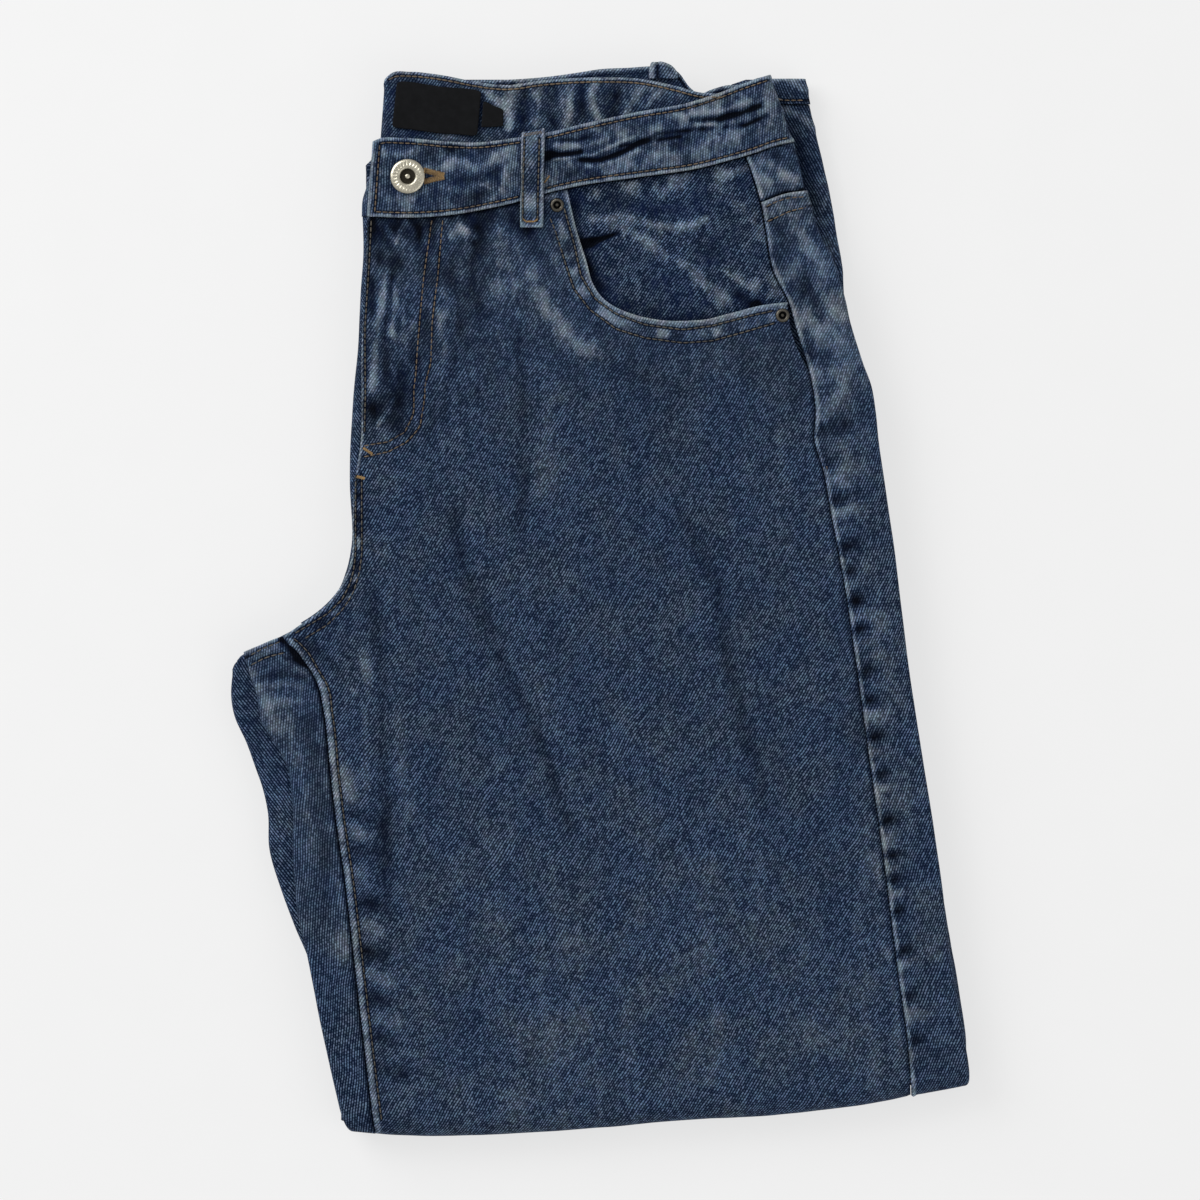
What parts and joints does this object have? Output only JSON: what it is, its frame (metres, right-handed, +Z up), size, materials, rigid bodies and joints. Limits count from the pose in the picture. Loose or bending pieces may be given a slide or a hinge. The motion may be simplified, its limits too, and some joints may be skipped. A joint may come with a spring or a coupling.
{
  "type": "wide leg jeans, folded",
  "caption": "Blue denim wide leg jeans with a buttoned waistband, folded in half lengthwise and under at the knee, lying flat.",
  "frame": {"origin": "centre of the bounding box, on the surface that the folded pair lies on", "axes": "+X across the legs towards the side seam, +Y up the legs to the waistband, +Z up from the surface"},
  "size_m": [0.3551, 0.5162, 0.0299],
  "materials": {
    "denim": "washed indigo right-hand twill, matt, pale where it is rubbed",
    "thread": "tan topstitching thread, twisted, slightly glossy",
    "label": "black woven satin, plain",
    "button_metal": "pale silver, satin, with a plain notched rim",
    "rivet_metal": "antique silver, darker in its hollow"
  },
  "bodies": {
    "root": {"front_left": "denim", "back_left_outseam": "denim", "back_left_inseam": "denim", "yoke_left": "denim", "pocket_facing": "denim", "waistband_front_left": "denim", "waistband_back_left": "denim", "waistband_back_right": "denim", "waistband_front_right": "denim", "front_right": "denim", "back_right": "denim", "lower_leg": "denim", "lower_leg_hem": "denim", "belt_loop_front": "denim", "belt_loop_back": "denim", "folded_layers": "denim", "label_main": "label", "label_size": "label", "button_cap": "button_metal", "button_centre": "button_metal", "rivet_waist": "rivet_metal", "rivet_side": "rivet_metal"}
  },
  "joints": []
}
